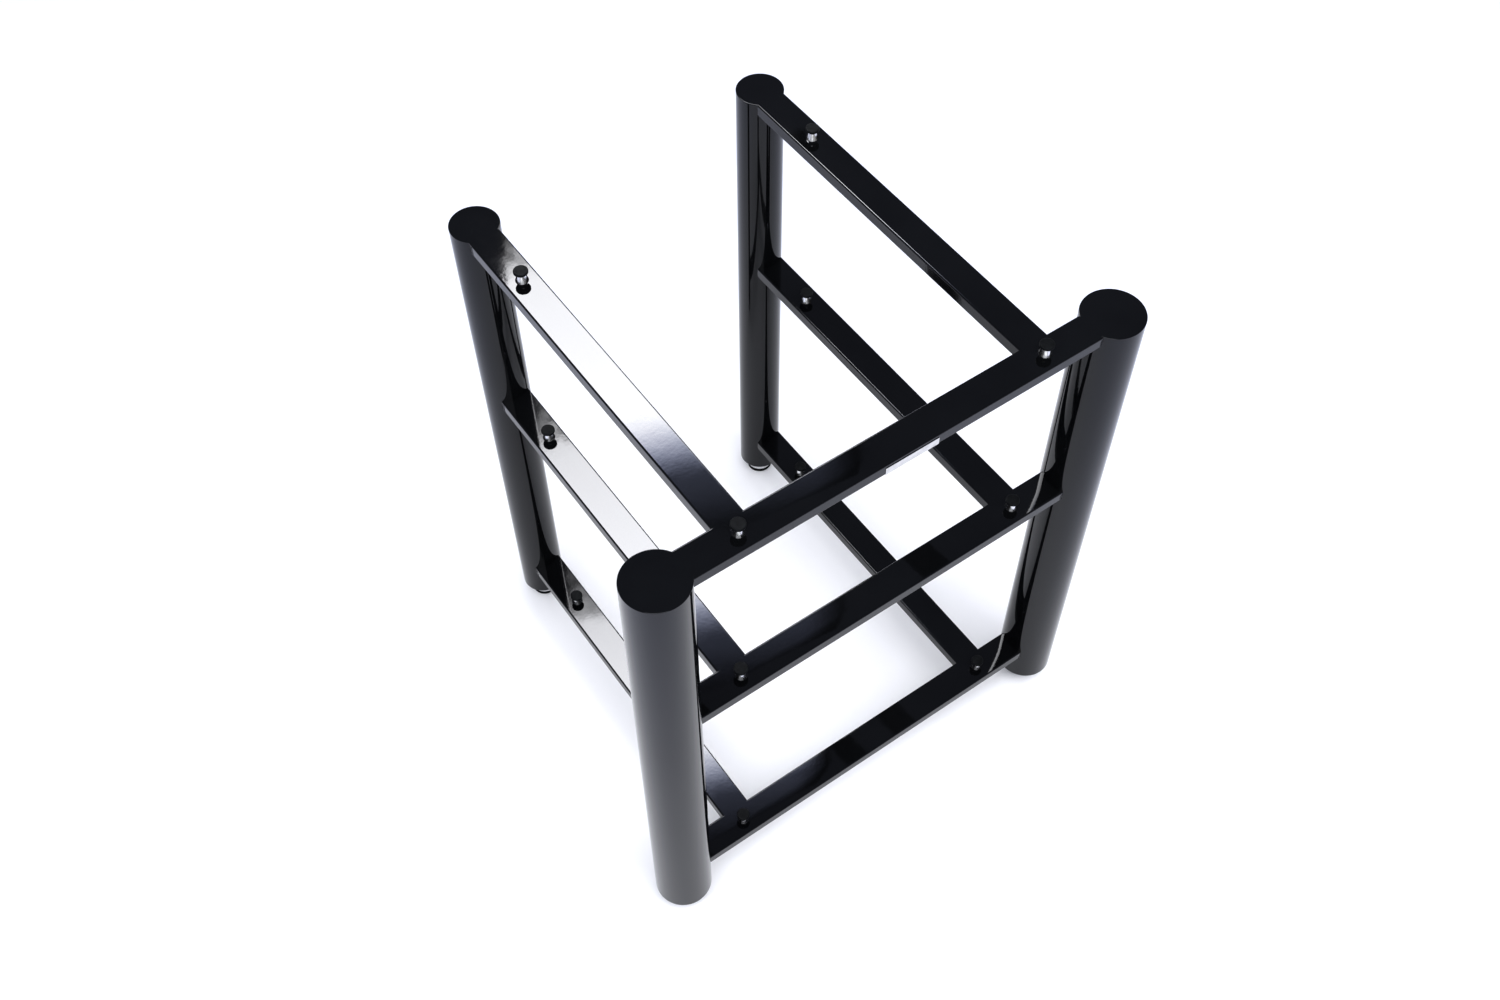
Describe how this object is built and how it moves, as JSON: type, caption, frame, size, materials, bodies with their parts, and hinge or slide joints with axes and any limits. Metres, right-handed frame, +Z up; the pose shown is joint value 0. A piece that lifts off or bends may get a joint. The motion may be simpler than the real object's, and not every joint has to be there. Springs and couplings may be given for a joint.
{
  "type": "audio equipment rack",
  "caption": "Open steel rack for audio equipment: round columns carry U-shaped levels of flat bar, open at the back, with rubber-capped shelf supports and screw levelling feet.",
  "frame": {"origin": "centre of the footprint's box, on the floor", "axes": "+Z up, -Y to the front where the equipment is put in, +X to the right of someone who faces +Y"},
  "size_m": [0.675, 0.5954, 0.776],
  "materials": {
    "lacquer": "high-gloss black lacquer",
    "chrome": "polished chrome plate",
    "zinc": "bright zinc plate",
    "rubber": "matt black rubber"
  },
  "bodies": {
    "rack_frame": {"column_front_left": "lacquer", "column_top_front_left": "lacquer", "base_plate_front_left": "zinc", "column_front_right": "lacquer", "column_top_front_right": "lacquer", "base_plate_front_right": "zinc", "column_rear_left": "lacquer", "column_top_rear_left": "lacquer", "base_plate_rear_left": "zinc", "column_rear_right": "lacquer", "column_top_rear_right": "lacquer", "base_plate_rear_right": "zinc", "beam_bottom_front": "lacquer", "beam_bottom_left": "lacquer", "beam_bottom_right": "lacquer", "beam_middle_front": "lacquer", "beam_middle_left": "lacquer", "beam_middle_right": "lacquer", "beam_top_front": "lacquer", "beam_top_left": "lacquer", "beam_top_right": "lacquer", "support_stud_bottom_front_left": "chrome", "support_cap_bottom_front_left": "rubber", "support_stud_bottom_front_right": "chrome", "support_cap_bottom_front_right": "rubber", "support_stud_bottom_rear_left": "chrome", "support_cap_bottom_rear_left": "rubber", "support_stud_bottom_rear_right": "chrome", "support_cap_bottom_rear_right": "rubber", "support_stud_middle_front_left": "chrome", "support_cap_middle_front_left": "rubber", "support_stud_middle_front_right": "chrome", "support_cap_middle_front_right": "rubber", "support_stud_middle_rear_left": "chrome", "support_cap_middle_rear_left": "rubber", "support_stud_middle_rear_right": "chrome", "support_cap_middle_rear_right": "rubber", "support_stud_top_front_left": "chrome", "support_cap_top_front_left": "rubber", "support_stud_top_front_right": "chrome", "support_cap_top_front_right": "rubber", "support_stud_top_rear_left": "chrome", "support_cap_top_rear_left": "rubber", "support_stud_top_rear_right": "chrome", "support_cap_top_rear_right": "rubber"},
    "foot_pad_front_left": {"foot_pad_front_left": "rubber"},
    "foot_screw_front_left": {"foot_disc_front_left": "chrome", "foot_rod_front_left": "zinc"},
    "foot_pad_front_right": {"foot_pad_front_right": "rubber"},
    "foot_screw_front_right": {"foot_disc_front_right": "chrome", "foot_rod_front_right": "zinc"},
    "foot_pad_rear_left": {"foot_pad_rear_left": "rubber"},
    "foot_screw_rear_left": {"foot_disc_rear_left": "chrome", "foot_rod_rear_left": "zinc"},
    "foot_pad_rear_right": {"foot_pad_rear_right": "rubber"},
    "foot_screw_rear_right": {"foot_disc_rear_right": "chrome", "foot_rod_rear_right": "zinc"}
  },
  "joints": [
    {"name": "foot_lift_front_left", "type": "slide", "parent": "rack_frame", "child": "foot_pad_front_left", "axis": [0, 0, 1], "range_m": [-0.01225, 0.00788]},
    {"name": "foot_turn_front_left", "type": "hinge", "parent": "foot_pad_front_left", "child": "foot_screw_front_left", "pos_m": [-0.3, -0.26025, 0.005], "axis": [0, 0, 1], "range_deg": [-2525, 1625]},
    {"name": "foot_lift_front_right", "type": "slide", "parent": "rack_frame", "child": "foot_pad_front_right", "axis": [0, 0, 1], "range_m": [-0.01225, 0.00788]},
    {"name": "foot_turn_front_right", "type": "hinge", "parent": "foot_pad_front_right", "child": "foot_screw_front_right", "pos_m": [0.3, -0.26025, 0.005], "axis": [0, 0, 1], "range_deg": [-2525, 1625]},
    {"name": "foot_lift_rear_left", "type": "slide", "parent": "rack_frame", "child": "foot_pad_rear_left", "axis": [0, 0, 1], "range_m": [-0.01225, 0.00788]},
    {"name": "foot_turn_rear_left", "type": "hinge", "parent": "foot_pad_rear_left", "child": "foot_screw_rear_left", "pos_m": [-0.2015, 0.26775, 0.005], "axis": [0, 0, 1], "range_deg": [-2525, 1625]},
    {"name": "foot_lift_rear_right", "type": "slide", "parent": "rack_frame", "child": "foot_pad_rear_right", "axis": [0, 0, 1], "range_m": [-0.01225, 0.00788]},
    {"name": "foot_turn_rear_right", "type": "hinge", "parent": "foot_pad_rear_right", "child": "foot_screw_rear_right", "pos_m": [0.2015, 0.26775, 0.005], "axis": [0, 0, 1], "range_deg": [-2525, 1625]}
  ],
  "couplings": [
    {"joint": "foot_turn_front_left", "follows": "foot_lift_front_left", "rad_per_m": 3590.4},
    {"joint": "foot_turn_front_right", "follows": "foot_lift_front_right", "rad_per_m": 3590.4},
    {"joint": "foot_turn_rear_left", "follows": "foot_lift_rear_left", "rad_per_m": 3590.4},
    {"joint": "foot_turn_rear_right", "follows": "foot_lift_rear_right", "rad_per_m": 3590.4}
  ]
}
